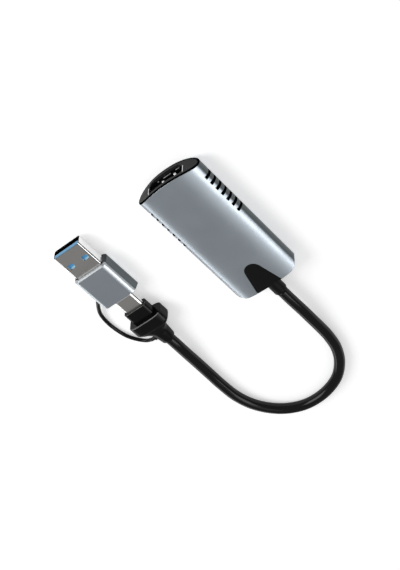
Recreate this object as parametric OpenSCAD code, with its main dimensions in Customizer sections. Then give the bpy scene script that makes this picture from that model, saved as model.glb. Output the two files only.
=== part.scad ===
// Video capture box: an oval aluminium body with an HDMI socket, a short captive cable with a USB-C plug,
// and a USB-C to USB-A adapter that slides on the plug and hangs on a strap.
// The belly lies on z = 0, the HDMI face looks to -Y and the cable leaves to +Y. Lengths are in millimetres.

/* [Box] */
// Width of the body
box_w = 27; // [25:0.5:34]
// Length of the body over the bowed front
box_l = 57.5; // [54:0.5:70]
// Height of the body on its belly
box_h = 9.1; // [8.8:0.1:12]
// Wall of the body
wall = 0.9; // [0.6:0.05:1]
// How far the front bows out at its middle
front_bow = 2.4; // [1:0.1:3.5]
// Radius of the two rear corners, seen from above
corner_r = 4.3; // [2.5:0.1:6]
// Depth of the flat along the belly
belly_cut = 0.1; // [0.05:0.05:0.3]
// Fullness of the oval section, where 2 is an ellipse
fullness = 2.55; // [2.4:0.05:3.5]

/* [Vents] */
// Number of vent slots in each side
vent_count = 7; // [3:1:8]
// Width of a vent slot
vent_w = 1.2; // [0.8:0.1:1.8]
// Spacing of the vent slots
vent_pitch = 2.84; // [2.4:0.02:3.2]
// Distance from the tip of the front to the middle of the first slot
vent_start = 8; // [7.5:0.1:12]
// How far a slot reaches above the middle of the side
vent_rise = 2.8; // [1.5:0.1:3]
// How far a slot reaches below the middle of the side
vent_drop = 1.8; // [0.2:0.1:2.2]

/* [Front cap] */
// Thickness of the face that covers the front end
cap_t = 0.5; // [0.3:0.1:1]
// How far the plug of the cap reaches in, from the tip of the front
cap_depth = 5.6; // [5:0.1:7]

/* [HDMI socket] */
// Outer width of the shell
hdmi_w = 15.5; // [14.6:0.1:15.6]
// Outer height of the shell
hdmi_h = 5.5; // [5.2:0.1:5.7]
// Length of the shell
hdmi_l = 11.2; // [9:0.1:14]
// Sheet thickness of the shell
hdmi_t = 0.3; // [0.2:0.05:0.4]
// Width of each slanted lower corner
hdmi_slant_w = 2; // [1.5:0.1:2.5]
// Height of each slanted lower corner
hdmi_slant_h = 2.1; // [1.5:0.1:2.4]
// Depth of the mouth behind the tip of the front
hdmi_recess = 0.75; // [0.4:0.05:1.5]
// Width of the tongue
hdmi_tongue_w = 10.8; // [10.6:0.1:11.4]
// Thickness of the tongue
hdmi_tongue_t = 1.2; // [0.9:0.1:1.5]
// Depth of the tip of the tongue behind the mouth
hdmi_tongue_set = 1.6; // [1:0.1:3]

/* [Board] */
// Thickness of the circuit board
board_t = 1; // [0.8:0.1:1.2]
// Underside of the board below the middle of the body
board_drop = 1.1; // [0.9:0.1:1.2]
// Thickness of the rail under each edge of the board
rail_t = 0.8; // [0.6:0.1:1]
// Overlap of each rail and the board
rail_grip = 0.9; // [0.6:0.1:1.4]
// Side of the square capture chip
chip_w = 7; // [5:0.5:9]
// Height of the capture chip
chip_h = 1.1; // [0.8:0.1:1.4]
// Width of the insulation film
film_w = 15; // [12:0.5:17]

/* [Gland and cable] */
// Length of the wedge in the rear notch
notch_l = 12.5; // [10:0.1:15]
// Width of the wedge at the rear face
notch_w = 10.8; // [9:0.1:13]
// Radius of the rounded tip of the wedge
notch_r = 3.2; // [2.4:0.1:3.8]
// Diameter of the strain relief
boss_d = 5.2; // [4.6:0.1:5.6]
// Length of the strain relief behind the body
boss_l = 6.8; // [4:0.1:10]
// Diameter of the cable
cable_d = 4; // [3:0.1:4.2]

/* [USB-C plug] */
// Distance from the middle of the body to the middle of the plug
plug_x = 46.6; // [42:0.1:52]
// Front of the overmould, from the middle of the body towards the cable
plug_y = 8.4; // [6:0.1:10]
// Outer width of the plug shell
usbc_w = 8.25; // [8.2:0.01:8.3]
// Outer height of the plug shell
usbc_h = 2.4; // [2.35:0.01:2.45]
// Length of the plug shell in front of the overmould
usbc_l = 6.65; // [6.4:0.05:6.8]
// Sheet thickness of the plug shell
usbc_t = 0.25; // [0.2:0.01:0.3]
// Width of the overmould
mold_w = 10; // [9.6:0.1:11]
// Height of the overmould
mold_h = 4.4; // [4.2:0.1:6.4]
// Length of the overmould in front of the grip
mold_show = 5.5; // [4:0.1:7]

/* [Grip and strap] */
// Width of the flange of the grip
grip_w = 14.8; // [14:0.1:17]
// Height of the flange of the grip
grip_h = 8; // [7.4:0.1:9]
// Length of the flange
flange_l = 5.3; // [4:0.1:6]
// Length of the taper behind the flange
taper_l = 4.2; // [3.5:0.1:8]
// Length of the neck behind the taper
neck_l = 4.1; // [3.6:0.1:6]
// Diameter of the neck where the taper ends
neck_d = 6.6; // [6:0.1:7]
// Diameter of the rear end of the neck
neck_end_d = 5.8; // [5:0.1:6.2]
// Diameter of the strap
strap_d = 1.5; // [1.2:0.1:2]

/* [Adapter] */
// Width of the sleeve
adapter_w = 15.1; // [14.6:0.1:17]
// Height of the sleeve
adapter_h = 7.6; // [7.2:0.1:9]
// Length of the sleeve
adapter_l = 17.6; // [17:0.1:22]
// Radius of the long edges of the sleeve
adapter_r = 2.3; // [1.5:0.1:2.6]
// Chamfer of the front edge of the sleeve
adapter_edge = 0.5; // [0.2:0.1:0.8]
// How far the rear face of the sleeve leans forward at its top
adapter_lean = 1.6; // [0:0.1:2]
// Wall of the sleeve
adapter_wall = 0.9; // [0.7:0.05:1.1]
// Thickness of the front wall of the sleeve
adapter_front_t = 1.2; // [0.8:0.1:1.6]
// Gap between the adapter and the overmould, as it lies
adapter_gap = 6.3; // [5.9:0.1:6.6]
// Depth of the USB-C socket
socket_depth = 6.8; // [6.7:0.05:7]
// Sheet thickness of the socket shell
socket_t = 0.3; // [0.2:0.05:0.4]

/* [USB-A plug] */
// Outer width of the shell
usba_w = 12; // [11.9:0.05:12.1]
// Outer height of the shell
usba_h = 4.5; // [4.4:0.05:4.6]
// Length of the shell in front of the sleeve
usba_l = 12.1; // [11:0.05:13]
// Sheet thickness of the shell
usba_t = 0.3; // [0.25:0.05:0.4]
// Thickness of the blue block above the opening
usba_block_t = 1.8; // [1.6:0.1:2.1]
// Depth of the blue lip in front of the shell's top
usba_lip = 0.2; // [0.1:0.05:0.5]
// Width of a latch hole
latch_w = 2.5; // [2:0.1:3]
// Length of a latch hole
latch_l = 2.1; // [1.6:0.1:2.6]
// Distance of the latch holes from the middle line
latch_x = 3.25; // [2.6:0.05:3.6]
// Distance from the tip to the middle of the latch holes
latch_y = 6.4; // [5:0.1:8]

/* [Fits] */
// Clearance between pieces that are put together
fit_clear = 0.1; // [0.05:0.01:0.15]
// Clearance between the plug and the socket
slide_clear = 0.1; // [0.06:0.01:0.12]

/* [Hidden] */

// Section of the body: an oval whose belly is cut flat
oval_h = box_h + belly_cut;
mid_z = box_h - oval_h / 2;
inner_w = box_w - 2 * wall;
inner_h = oval_h - 2 * wall;
front_tip = -box_l / 2;
rear_face = box_l / 2;
// Small overlap that keeps cutting faces apart
over = 0.02;

// Board and its seat
board_z = mid_z - board_drop;
board_top = board_z + board_t;
board_side_gap = 0.15;
board_half_w = half_across(inner_w, inner_h, fullness, board_drop) - board_side_gap;
rail_x = board_half_w - rail_grip;
cap_back = front_tip + cap_depth;
board_front = cap_back + fit_clear;
// The stub of the gland that lets the wires in, and the wires' soldered ends on the board
stub_l = 1;
stub_w = 2 * notch_r - 1.6;
stub_h = 3.2;
wire_d = 0.8;
wire_reach = 1.2;
wire_lap = 1.8;
gland_front = rear_face - notch_l - stub_l;
board_rear = gland_front - wire_reach;
gland_floor_t = 0.3;
gland_low = mid_z - boss_d / 2 - gland_floor_t;
boss_root = 2;
boss_round = 0.5;

// HDMI socket
hdmi_front = front_tip + hdmi_recess;
hdmi_back = hdmi_front + hdmi_l;
hdmi_block_l = 1.8;
hdmi_block_y = hdmi_back - hdmi_t - hdmi_block_l;
hdmi_tongue_y = hdmi_front + hdmi_tongue_set;
hdmi_ear = [1.8, 2];
hdmi_ear_y = hdmi_back - 4;
hdmi_tab = [1.6, 3, 0.3];
hdmi_tab_x = 2.6;
hdmi_tab_set = 1.2;
hdmi_contact_w = 0.4;
hdmi_pitch = 1;
hdmi_contact_set = 0.6;
contact_t = 0.1;

// Chips on the board, as [x, y]
chip_at = [0, -5];
flash_at = [7.6, -8];
flash_size = [4, 5, 1.5];
crystal_at = [-7.5, -9.5];
crystal_size = [2.5, 3.2, 0.8];
inductor_at = [-7, 3];
inductor_size = [4, 4, 2];
regulator_at = [7, 3];
regulator_size = [3, 1.7, 1.1];
capacitor_size = [0.8, 1.6, 0.8];
capacitor_pitch = 2;
capacitor_gap = 2;
pad_gap = 0.08;
pad_top = mid_z + half_across(inner_h, inner_w, fullness, chip_w / 2) - pad_gap;
film_gap = 0.05;
film_z = mid_z - half_across(inner_h, inner_w, fullness, film_w / 2) + film_gap;
film_front = hdmi_back + 1;
film_t = 0.2;
vent_inside = 0.4;

// Plug, grip and adapter lie on one axis
plug_z = max(adapter_h, grip_h) / 2;
plug_tip = plug_y - usbc_l;
usbc_seat = 3.5;
usbc_back = plug_y + usbc_seat;
usbc_lip = 0.2;
slot_w = 6.9;
slot_h = 1.2;
slot_end = plug_y - 0.75;
usbc_contact = [0.25, 4.4, contact_t];
latch_strip = [0.12, 3.6, 0.5];
pin_pitch = 0.5;
flange_y = plug_y + mold_show;
taper_y = flange_y + flange_l;
neck_y = taper_y + taper_l;
grip_back = neck_y + neck_l;
// The overmould ends with the flange, and holds a card and wires in its cavity
mold_r = 1.6;
mold_end_t = 1;
mold_back = taper_y;
cavity_back = mold_back - mold_end_t;
cavity_h = 3;
card_t = 0.8;
plug_card_w = 7.2;
plug_card_l = cavity_back - usbc_back - wire_reach;
plug_wire_pitch = 1.3;
grip_edge = 0.3;
grip_round = 1.2;
grip_oval = 4;
nub_y = neck_y + 0.9;
nub_d = 2.2;
nub_out = neck_d / 2 + 1;

adapter_back = plug_y - adapter_gap;
adapter_front = adapter_back - adapter_l;
socket_w = usbc_w + 2 * slide_clear;
socket_h = usbc_h + 2 * slide_clear;
socket_floor = adapter_back - socket_depth;
socket_block_l = 1.5;
socket_back = socket_floor - socket_block_l;
socket_tongue_w = slot_w - 0.5;
socket_tongue_t = 0.66;
socket_tongue_set = 0.9;
socket_contact = [0.25, 4.2, contact_t / 2];
socket_contact_set = 0.5;
insert_t = 1.6;
usba_tip = adapter_front - usba_l;
usba_seat = 3;
usba_back = adapter_front + usba_seat;
usba_block_l = 3.6;
usba_block_z = usba_h / 2 - usba_t - usba_block_t;
usba_pad = [1, 4.6, contact_t];
usba_pad_pitch = 2.3;
usba_pad_set = 1.2;
usba_strip = [0.6, 3, contact_t];
usba_strip_pitch = 2;
usba_strip_set = 6.6;
adapter_card_w = 8.8;
adapter_chip = [1, 1.6, 0.6];
adapter_chip_pitch = 2.4;
// The button that holds the strap in the side of the sleeve
anchor_y = adapter_back - 3.8;
anchor_drop = 0.8;
anchor_d = 2.2;
anchor_head_d = 3.2;
anchor_head_t = 0.6;
anchor_inside = 0.8;
strap_gap = 0.1;

// Route of the cable: out of the strain relief, down to the table, round and up to the grip
cable_start = [0, rear_face + boss_l, mid_z];
cable_end = [plug_x, grip_back, plug_z];
cable_lie = cable_d / 2 + 0.05;
cable_near = [[0, 48, 4.2], [0.3, 54, 3.6], [0.7, 60, 2.8], [1.2, 66, 2.2], [2.6, 72.6, cable_lie],
    [6, 79.2, cable_lie], [11.8, 85, cable_lie], [19.8, 88.4, cable_lie], [28, 89, cable_lie], [35, 86.8, cable_lie]];
cable_far = [[-5.8, 82.3, cable_lie], [-1.4, 75.8, cable_lie], [0.9, 68.2, cable_lie], [1.4, 60, cable_lie],
    [1.3, 52, cable_lie], [0.9, 44, 2.7], [0.4, 37.5, 3.5]];
cable_route = concat([cable_start, cable_start + [0, 6, 0]], cable_near,
    [for (p = cable_far) p + [plug_x, 0, 0]], [cable_end + [0, 5, 0], cable_end]);

// Route of the strap from the button of the adapter to the nub of the grip, seen from the front of the overmould
strap_start = [plug_x + adapter_w / 2 + anchor_head_t + strap_gap, anchor_y, plug_z - anchor_drop];
strap_end = [plug_x + nub_out, nub_y, plug_z];
strap_lie = strap_d / 2 + 0.05;
strap_bend = [[9.8, -9.2, 2.9], [11.6, -7, 2.2], [13.4, -4.2, 1.5], [14.4, -0.8, 1.1], [14.8, 3.2, strap_lie],
    [14.4, 7.4, strap_lie], [13.3, 10.9, 1.1], [11.1, 14.1, 1.6], [8.5, 16, 2.4]];
strap_route = concat([strap_start, strap_start + [0.8, 0.1, 0]], [for (p = strap_bend) p + [plug_x, plug_y, 0]],
    [strap_end + [1.8, 0.2, -0.5], strap_end + [0.9, 0, 0], strap_end]);

// Outlines and points
function oval(w, h, n, count = 72) = [for (i = [0:count - 1])
    let (c = cos(360 * i / count), s = sin(360 * i / count))
    [w / 2 * sign(c) * pow(abs(c), 2 / n), h / 2 * sign(s) * pow(abs(s), 2 / n)]];
function half_across(w, h, n, z) = w / 2 * pow(1 - pow(abs(z) / (h / 2), n), 1 / n);
function arc(c, r, a0, a1, steps) = [for (i = [0:steps])
    let (a = a0 + (a1 - a0) * i / steps) [c[0] + r * cos(a), c[1] + r * sin(a)]];
function flip(points) = [for (i = [len(points) - 1:-1:0]) points[i]];
function stadium(w, h) = concat(arc([(w - h) / 2, 0], h / 2, -90, 90, 12),
    arc([(h - w) / 2, 0], h / 2, 90, 270, 12));
function round_rect(w, h, r) = [for (k = [0:3]) each
    arc([(w / 2 - r) * (k == 0 || k == 3 ? 1 : -1), (h / 2 - r) * (k < 2 ? 1 : -1)], r, 90 * k, 90 * k + 90, 6)];
// The bowed front, seen from above, set in by a distance, out to half the width
function bow(inset, half) = [for (i = [-12:12])
    let (x = half * i / 12) [x, front_tip + inset + front_bow * pow(2 * x / box_w, 2)]];
function corners(w, back, r) = concat(arc([w / 2 - r, back - r], r, 0, 90, 10),
    arc([r - w / 2, back - r], r, 90, 180, 10));
// The D outline of the HDMI shell, set in by a distance
function hdmi_outline(t) =
    let (k = norm([hdmi_slant_w, hdmi_slant_h]),
        w = hdmi_w / 2 - t,
        h = hdmi_h / 2 - t,
        sw = hdmi_slant_w - t + t * (k - hdmi_slant_w) / hdmi_slant_h,
        sh = hdmi_slant_h - t + t * (k - hdmi_slant_h) / hdmi_slant_w)
    [[-w, h], [-w, sh - h], [sw - w, -h], [w - sw, -h], [w, sh - h], [w, h]];
// The rear notch, seen from above: a rounded tip and two straight sides that open to the rear
function notch(clear, past) =
    let (r = notch_r + clear,
        c = rear_face - notch_l + notch_r,
        hw = notch_w / 2 + clear,
        d = norm([hw, rear_face - c]),
        a = atan2(rear_face - c, hw) - acos(r / d),
        tip = [r * cos(a), c + r * sin(a)],
        open = hw + (hw - tip[0]) / (rear_face - tip[1]) * past)
    concat(arc([0, c], r, 180 - a, 360 + a, 18), [[open, rear_face + past], [-open, rear_face + past]]);
function unit(v) = v / norm(v);
// Rings of points round a route, each square to it
function tube_rings(route, d, sides) = [for (i = [0:len(route) - 1])
    let (t = unit(route[min(i + 1, len(route) - 1)] - route[max(i - 1, 0)]),
        s = unit(cross(t, [0, 0, 1])),
        u = cross(s, t))
    [for (k = [0:sides - 1]) route[i] + d / 2 * (cos(360 * k / sides) * s + sin(360 * k / sides) * u)]];
// Rings of the grip, as [y, width, height, fullness]: the rounded flange, a hollow taper and the neck
function grip_sizes() = concat(
    [[flange_y, grip_w - 2 * grip_edge, grip_h - 2 * grip_edge, grip_oval],
    [flange_y + grip_edge, grip_w, grip_h, grip_oval]],
    [for (i = [0:3]) let (s = grip_round * (1 - cos(20 * i)))
        [taper_y - grip_round * (1 - sin(20 * i)), grip_w - 2 * s, grip_h - s, grip_oval]],
    [for (i = [1:6]) let (f = pow(1 - i / 6, 2.2))
        [taper_y + taper_l * i / 6, neck_d + (grip_w - grip_round - neck_d) * f,
        neck_d + (grip_h - grip_round / 2 - neck_d) * f, 2 + (grip_oval - 2) * f]],
    [[grip_back - 0.5, neck_end_d, neck_end_d, 2], [grip_back, neck_end_d - 1, neck_end_d - 1, 2]]);
function grip_rings() = [for (g = grip_sizes()) [for (p = oval(g[1], g[2], g[3], 32)) [p[0], g[0], p[1]]]];

// A ring of the sleeve, set in by a distance, that leans forward at its top
function sleeve_ring(y, inset, lean) =
    [for (p = round_rect(adapter_w - 2 * inset, adapter_h - 2 * inset, adapter_r - inset))
    [p[0], y - lean * (p[1] / adapter_h + 0.5), p[1]]];

// Shapes that repeat
module along_y(y0, y1) translate([0, y1, 0]) rotate([90, 0, 0]) linear_extrude(y1 - y0) children();
module both_sides() for (s = [0, 1]) mirror([s, 0, 0]) children();
module on_plug_axis() translate([plug_x, 0, plug_z]) children();
module block(size, at) translate([at[0] - size[0] / 2, at[1] - size[1] / 2, at[2]]) cube(size);
module loft(rings) {
    n = len(rings[0]);
    last = len(rings) - 1;
    sides = [for (j = [0:last - 1], i = [0:n - 1]) let (a = j * n + i, b = j * n + (i + 1) % n)
        each [[a, b, b + n], [a, b + n, a + n]]];
    ends = [[for (i = [n - 1:-1:0]) i], [for (i = [0:n - 1]) last * n + i]];
    polyhedron([for (r = rings) each r], concat(sides, ends));
}
module body_oval(shrink) translate([0, mid_z])
    polygon(oval(box_w - 2 * shrink, oval_h - 2 * shrink, fullness));
// The whole body as one solid, with its front set in
module body_solid(inset) intersection() {
    along_y(-box_l, box_l) body_oval(0);
    linear_extrude(2 * box_h) polygon(concat(bow(inset, box_w / 2 + over),
        corners(box_w + 2 * over, rear_face, corner_r)));
}
// A row of bars side by side, the first edge of each at y and its underside at z
module row(count, pitch, size, y, z) for (i = [0:count - 1])
    translate([(i - (count - 1) / 2) * pitch - size[0] / 2, y, z]) cube(size);

// Box
module housing_shell() color("#8d979f") union() {
    difference() {
        body_solid(cap_t);
        intersection() {
            along_y(-box_l, box_l) body_oval(wall);
            translate([0, 0, -1]) linear_extrude(2 * box_h) polygon(concat(
                [[-inner_w / 2 - over, -box_l], [inner_w / 2 + over, -box_l]],
                corners(inner_w + 2 * over, rear_face - wall, corner_r - wall)));
        }
        both_sides() for (i = [0:vent_count - 1])
            translate([half_across(inner_w, inner_h, fullness, vent_rise) - vent_inside,
                front_tip + vent_start + i * vent_pitch - vent_w / 2, mid_z - vent_drop])
                cube([box_w, vent_w, vent_drop + vent_rise]);
        translate([0, 0, gland_low - fit_clear]) linear_extrude(2 * box_h) polygon(notch(fit_clear, 2));
    }
    // Rails that carry the board, whole behind the vents
    intersection() {
        along_y(board_front, board_rear) body_oval(wall - over);
        both_sides() translate([rail_x, board_front, board_z - rail_t])
            cube([box_w, board_rear - board_front, rail_t]);
    }
}

module front_cap() color("#2b2b2d") difference() {
    union() {
        intersection() {
            along_y(-box_l, box_l) body_oval(0);
            linear_extrude(2 * box_h) polygon(concat(bow(0, box_w / 2 + over),
                flip(bow(cap_t, box_w / 2 + over))));
        }
        intersection() {
            along_y(-box_l, box_l) body_oval(wall + fit_clear);
            linear_extrude(2 * box_h) polygon(concat(bow(cap_t / 2, box_w / 2),
                [[box_w / 2, cap_back], [-box_w / 2, cap_back]]));
        }
    }
    along_y(-box_l, 0) translate([0, mid_z]) polygon(hdmi_outline(-fit_clear));
}

module cable_gland() color("#161616") union() {
    intersection() {
        body_solid(0);
        translate([0, 0, gland_low]) linear_extrude(2 * box_h) polygon(notch(0, 2));
    }
    translate([-stub_w / 2, gland_front, mid_z - stub_h / 2]) cube([stub_w, stub_l + notch_r, stub_h]);
    translate([0, rear_face - boss_root, mid_z]) rotate([-90, 0, 0]) {
        cylinder(d = boss_d, h = boss_root + boss_l - boss_round, $fn = 48);
        translate([0, 0, boss_root + boss_l - boss_round])
            cylinder(d1 = boss_d, d2 = boss_d - 2 * boss_round, h = boss_round, $fn = 48);
    }
}

module hdmi_shell() color("#b9bcbe") union() {
    difference() {
        along_y(hdmi_front, hdmi_back) translate([0, mid_z]) polygon(hdmi_outline(0));
        along_y(hdmi_front - 1, hdmi_back - hdmi_t) translate([0, mid_z]) polygon(hdmi_outline(hdmi_t));
    }
    // Soldered ears on the board
    both_sides() translate([hdmi_w / 2 - hdmi_t, hdmi_ear_y, board_top])
        cube([hdmi_t + hdmi_ear[0], hdmi_ear[1], hdmi_t]);
    // Spring tabs above and below the tongue
    for (x = [-hdmi_tab_x, hdmi_tab_x], s = [-1, 1])
        block(hdmi_tab, [x, hdmi_front + hdmi_tab_set + hdmi_tab[1] / 2,
            mid_z + s * (hdmi_h / 2 - hdmi_t - hdmi_tab[2] / 2 + over) - hdmi_tab[2] / 2]);
}

module hdmi_insulator() color("#1c1c1e") union() {
    along_y(hdmi_block_y, hdmi_back - hdmi_t) translate([0, mid_z]) polygon(hdmi_outline(hdmi_t));
    translate([-hdmi_tongue_w / 2, hdmi_tongue_y, mid_z - hdmi_tongue_t / 2])
        cube([hdmi_tongue_w, hdmi_block_y - hdmi_tongue_y + over, hdmi_tongue_t]);
}

module hdmi_contacts() color("#c9a24a") {
    contact = [hdmi_contact_w, hdmi_block_y - hdmi_tongue_y - hdmi_contact_set, contact_t];
    row(10, hdmi_pitch, contact, hdmi_tongue_y + hdmi_contact_set, mid_z + hdmi_tongue_t / 2);
    row(9, hdmi_pitch, contact, hdmi_tongue_y + hdmi_contact_set, mid_z - hdmi_tongue_t / 2 - contact_t);
}

module main_board() color("#1f5c3a") difference() {
    translate([-board_half_w, board_front, board_z]) cube([2 * board_half_w, board_rear - board_front, board_t]);
    translate([-hdmi_w / 2 - fit_clear, board_front - 1, board_z - 1])
        cube([hdmi_w + 2 * fit_clear, hdmi_back + fit_clear - board_front + 1, board_t + 2]);
}

module capture_chip() color("#222225") block([chip_w, chip_w, chip_h], [chip_at[0], chip_at[1], board_top]);

module thermal_pad() color("#9aa7b5")
    block([chip_w, chip_w, pad_top - board_top - chip_h], [chip_at[0], chip_at[1], board_top + chip_h]);

module flash_chip() color("#26262a") block(flash_size, [flash_at[0], flash_at[1], board_top]);

module crystal() color("#c4c7c9") block(crystal_size, [crystal_at[0], crystal_at[1], board_top]);

module power_inductor() color("#3a3a3c") block(inductor_size, [inductor_at[0], inductor_at[1], board_top]);

module voltage_regulator() color("#242426") block(regulator_size, [regulator_at[0], regulator_at[1], board_top]);

module capacitors() color("#b59a72") {
    for (i = [-2:2]) block(capacitor_size,
        [chip_at[0] + capacitor_pitch * i, chip_at[1] + chip_w / 2 + capacitor_gap, board_top]);
    for (i = [-1:1]) block(capacitor_size,
        [regulator_at[0] + capacitor_pitch * i, regulator_at[1] + regulator_size[1] / 2 + capacitor_gap, board_top]);
}

module insulation_film() color("#d9c36a")
    block([film_w, board_rear - film_front, film_t], [0, (board_rear + film_front) / 2, film_z]);

module cable_wires() color("#b03a2e") for (i = [0:3])
    translate([(i - 1.5) * (stub_w / 2 - wire_d) * 2 / 3, gland_front, board_top + wire_d / 2]) rotate([90, 0, 0])
        cylinder(d = wire_d, h = wire_reach + wire_lap, $fn = 24);

module cable() color("#1a1a1a") loft(tube_rings(cable_route, cable_d, 12));

// USB-C plug
module usbc_shell() color("#8b8886") on_plug_axis() along_y(plug_tip, usbc_back) difference() {
    polygon(stadium(usbc_w, usbc_h));
    polygon(stadium(usbc_w - 2 * usbc_t, usbc_h - 2 * usbc_t));
}

module usbc_insulator() color("#202022") on_plug_axis() difference() {
    along_y(plug_tip + usbc_lip, usbc_back) polygon(stadium(usbc_w - 2 * usbc_t, usbc_h - 2 * usbc_t));
    along_y(plug_tip - 1, slot_end) square([slot_w, slot_h], center = true);
}

module usbc_contacts() color("#c9a24a") on_plug_axis() for (z = [-slot_h / 2, slot_h / 2 - contact_t])
    row(12, pin_pitch, usbc_contact, slot_end - usbc_contact[1], z);

module usbc_latches() color("#b9bcbe") on_plug_axis() both_sides()
    translate([slot_w / 2 - latch_strip[0], slot_end - latch_strip[1], -latch_strip[2] / 2]) cube(latch_strip);

module plug_board() color("#1f5c3a") on_plug_axis()
    translate([-plug_card_w / 2, usbc_back, -card_t / 2]) cube([plug_card_w, plug_card_l, card_t]);

module plug_wires() color("#b03a2e") on_plug_axis() for (i = [0:3])
    translate([(i - 1.5) * plug_wire_pitch, cavity_back, card_t / 2 + wire_d / 2]) rotate([90, 0, 0])
        cylinder(d = wire_d, h = wire_reach + plug_card_l / 2, $fn = 24);

module usbc_overmold() color("#171717") on_plug_axis() difference() {
    along_y(plug_y, mold_back) polygon(round_rect(mold_w, mold_h, mold_r));
    along_y(plug_y - 1, usbc_back) polygon(stadium(usbc_w, usbc_h));
    along_y(usbc_back - over, cavity_back) square([usbc_w, cavity_h], center = true);
}

module tether_boot() color("#161616") on_plug_axis() difference() {
    union() {
        loft(grip_rings());
        translate([0, nub_y, 0]) rotate([0, 90, 0]) cylinder(d = nub_d, h = nub_out, $fn = 32);
    }
    along_y(flange_y - 1, mold_back) polygon(round_rect(mold_w, mold_h, mold_r));
}

module tether() color("#1a1a1a") loft(tube_rings(strap_route, strap_d, 8));

// Adapter
module adapter_sleeve() color("#8d979f") on_plug_axis() difference() {
    loft([sleeve_ring(adapter_front, adapter_edge, 0), sleeve_ring(adapter_front + adapter_edge, 0, 0),
        sleeve_ring(adapter_back, 0, adapter_lean)]);
    along_y(adapter_front + adapter_front_t, adapter_back + 1)
        polygon(round_rect(adapter_w - 2 * adapter_wall, adapter_h - 2 * adapter_wall, adapter_r - adapter_wall));
    along_y(adapter_front - 1, usba_back + fit_clear)
        square([usba_w + 2 * fit_clear, usba_h + 2 * fit_clear], center = true);
    translate([0, anchor_y, -anchor_drop]) rotate([0, 90, 0])
        cylinder(d = anchor_d + fit_clear, h = adapter_w, $fn = 32);
}

module rear_insert() color("#2b2b2d") on_plug_axis() difference() {
    loft([sleeve_ring(adapter_back - insert_t, adapter_wall + fit_clear, adapter_lean),
        sleeve_ring(adapter_back, adapter_wall + fit_clear, adapter_lean)]);
    along_y(socket_back, adapter_back + 1) polygon(stadium(socket_w + 2 * socket_t, socket_h + 2 * socket_t));
}

module usba_shell() color("#8f8c88") on_plug_axis() difference() {
    along_y(usba_tip, usba_back) difference() {
        square([usba_w, usba_h], center = true);
        square([usba_w - 2 * usba_t, usba_h - 2 * usba_t], center = true);
    }
    for (x = [-latch_x, latch_x])
        translate([x - latch_w / 2, usba_tip + latch_y - latch_l / 2, -usba_h]) cube([latch_w, latch_l, 2 * usba_h]);
    // Room for the blue lip
    translate([usba_t - usba_w / 2, usba_tip - 1, 0]) cube([usba_w - 2 * usba_t, 1 + usba_lip, usba_h]);
}

module usba_insulator() color("#2f86c4") on_plug_axis() union() {
    translate([usba_t - usba_w / 2, usba_tip, usba_block_z])
        cube([usba_w - 2 * usba_t, usba_back - usba_tip, usba_block_t]);
    translate([usba_t - usba_w / 2, usba_tip, usba_block_z])
        cube([usba_w - 2 * usba_t, usba_lip, usba_block_t + usba_t]);
    translate([usba_t - usba_w / 2, usba_back - usba_block_l, usba_t - usba_h / 2])
        cube([usba_w - 2 * usba_t, usba_block_l, usba_h - 2 * usba_t]);
}

module usba_contacts() color("#c9a24a") on_plug_axis() {
    row(4, usba_pad_pitch, usba_pad, usba_tip + usba_pad_set, usba_block_z - contact_t);
    row(5, usba_strip_pitch, usba_strip, usba_tip + usba_strip_set, usba_block_z - contact_t);
}

module socket_shell() color("#b9bcbe") on_plug_axis() along_y(socket_back, adapter_back) difference() {
    polygon(stadium(socket_w + 2 * socket_t, socket_h + 2 * socket_t));
    polygon(stadium(socket_w, socket_h));
}

module socket_tongue() color("#202022") on_plug_axis() union() {
    along_y(socket_back, socket_floor) polygon(stadium(socket_w, socket_h));
    translate([-socket_tongue_w / 2, socket_floor - over, -socket_tongue_t / 2])
        cube([socket_tongue_w, socket_depth - socket_tongue_set + over, socket_tongue_t]);
}

module socket_contacts() color("#c9a24a") on_plug_axis()
    for (z = [-socket_tongue_t / 2 - socket_contact[2], socket_tongue_t / 2])
        row(12, pin_pitch, socket_contact, socket_floor + socket_contact_set, z);

module adapter_board() color("#1f5c3a") on_plug_axis()
    translate([-adapter_card_w / 2, usba_back, -card_t / 2]) cube([adapter_card_w, socket_back - usba_back, card_t]);

module adapter_chips() color("#2a2a2c") on_plug_axis() for (i = [-1:1])
    block(adapter_chip, [i * adapter_chip_pitch, (usba_back + socket_back) / 2, card_t / 2]);

module tether_anchor() color("#161616") on_plug_axis()
    translate([adapter_w / 2, anchor_y, -anchor_drop]) rotate([0, 90, 0]) {
        translate([0, 0, -adapter_wall - anchor_inside])
            cylinder(d = anchor_d, h = adapter_wall + anchor_inside + anchor_head_t / 2, $fn = 32);
        cylinder(d = anchor_head_d, h = anchor_head_t, $fn = 32);
    }

housing_shell();
front_cap();
cable_gland();
hdmi_shell();
hdmi_insulator();
hdmi_contacts();
main_board();
capture_chip();
thermal_pad();
flash_chip();
crystal();
power_inductor();
voltage_regulator();
capacitors();
insulation_film();
cable_wires();
cable();
usbc_shell();
usbc_insulator();
usbc_contacts();
usbc_latches();
plug_board();
plug_wires();
usbc_overmold();
tether_boot();
tether();
adapter_sleeve();
rear_insert();
usba_shell();
usba_insulator();
usba_contacts();
socket_shell();
socket_tongue();
socket_contacts();
adapter_board();
adapter_chips();
tether_anchor();
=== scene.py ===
import math

import bmesh
import bpy
from mathutils import Matrix, Vector


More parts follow.
